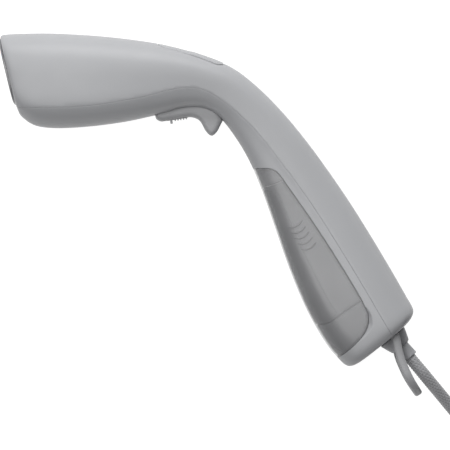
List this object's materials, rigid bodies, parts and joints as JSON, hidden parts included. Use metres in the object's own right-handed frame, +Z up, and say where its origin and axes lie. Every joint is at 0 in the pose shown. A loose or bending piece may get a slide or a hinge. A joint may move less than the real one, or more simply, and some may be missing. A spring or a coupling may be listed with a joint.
{
  "type": "garment steamer",
  "caption": "Handheld garment steamer with an angled steam head, trigger with lock, removable smoky water tank, hanging loop and mains cord.",
  "frame": {"origin": "middle of the steamer's own footprint, on the surface it lies on; the cord, its coil and the plug are left out of that box", "axes": "the steamer lies on its side: the steam plate faces -X, the handle runs down to +X and -Y, the cord leaves towards +X and -Y, and +Z is up, across the width of the body"},
  "size_m": [0.4136, 0.2911, 0.06],
  "materials": {
    "shell_plastic": "fine satin moulded grey",
    "trim_plastic": "satin darker grey",
    "guard_rubber": "soft satin grey",
    "smoke_plastic": "smoky translucent, polished",
    "vessel_plastic": "frosted translucent",
    "indicator_clear": "clear light guide",
    "plate_coating": "dark non-stick coating",
    "cast_aluminium": "as cast",
    "seal_rubber": "silicone rubber",
    "steel": "zinc plated",
    "element_sheath": "heat-tinted sheath",
    "brass_fitting": "turned",
    "copper_winding": "enamelled copper wire under tape",
    "hose_silicone": "translucent silicone",
    "inner_plastic": "plain glass-filled nylon",
    "ceramic_fuse": "glazed",
    "circuit_board": "solder mask",
    "black_plastic": "moulded",
    "lead_sleeve": "insulated wire",
    "cord_braid": "ribbed textile braid",
    "tie_fabric": "hook-and-loop strap",
    "plug_plastic": "satin grey moulding",
    "plug_metal": "nickel plated"
  },
  "bodies": {
    "root": {"upper_shell": "shell_plastic", "lower_shell": "shell_plastic", "top_panel": "shell_plastic", "screw_cover": "shell_plastic", "steam_plate": "plate_coating", "cord_guard": "guard_rubber", "boiler_body": "cast_aluminium", "boiler_gasket": "seal_rubber", "boiler_lid": "cast_aluminium", "boiler_screws": "steel", "heating_element": "element_sheath", "thermostat": "steel", "thermal_fuse": "ceramic_fuse", "heat_shield": "steel", "steam_inlet": "brass_fitting", "delivery_hose": "hose_silicone", "pump_body": "inner_plastic", "pump_coil": "copper_winding", "pump_mounts": "seal_rubber", "suction_hose": "hose_silicone", "tank_bay": "inner_plastic", "dock_spigot": "inner_plastic", "dock_seal": "seal_rubber", "control_board": "circuit_board", "board_parts": "black_plastic", "trigger_switch": "black_plastic", "trigger_pin": "steel", "end_frame": "inner_plastic", "loop_pins": "steel", "cord_clamp": "inner_plastic", "clamp_screws": "steel", "shell_screws": "steel", "inner_leads": "lead_sleeve", "cord_end": "cord_braid", "button_board": "circuit_board", "power_switch": "black_plastic", "plate_gasket": "seal_rubber", "indicator_lens": "indicator_clear", "cord": "cord_braid", "cord_coil": "cord_braid", "cord_tail": "cord_braid", "cord_tie": "tie_fabric", "plug_body": "plug_plastic", "plug_pins": "plug_metal", "earth_clips": "plug_metal"},
    "trigger": {"trigger": "trim_plastic", "trigger_spring": "steel"},
    "trigger_lock": {"trigger_lock": "trim_plastic"},
    "power_button": {"power_button": "trim_plastic"},
    "water_tank": {"tank_cover": "smoke_plastic", "tank_vessel": "vessel_plastic", "tank_cap": "trim_plastic", "tank_outlet": "seal_rubber", "pickup_tube": "hose_silicone", "filler_stopper": "seal_rubber"},
    "hanging_loop": {"hanging_loop": "trim_plastic"}
  },
  "joints": [
    {"name": "trigger_pull", "type": "hinge", "parent": "root", "child": "trigger", "pos_m": [-0.031, 0.0695, 0.03], "axis": [0, 0, 1], "range_deg": [0, 5.5], "stiffness_Nm_per_rad": 0.3, "springref_deg": -4.58, "deforming": ["trigger_spring"]},
    {"name": "lock_slide", "type": "slide", "parent": "trigger", "child": "trigger_lock", "axis": [-0.989, -0.1478, 0], "range_m": [0, 0.004]},
    {"name": "button_press", "type": "slide", "parent": "root", "child": "power_button", "axis": [-0.3206, -0.9472, 0], "range_m": [0, 0.0008], "stiffness_N_per_m": 600, "springref_m": -0.001},
    {"name": "tank_slide", "type": "slide", "parent": "root", "child": "water_tank", "axis": [-0.8988, -0.4384, 0], "range_m": [0, 0.06]},
    {"name": "loop_swing", "type": "hinge", "parent": "root", "child": "hanging_loop", "pos_m": [0.1132, -0.0728, 0.03], "axis": [0, 0, -1], "range_deg": [0, 40]}
  ]
}
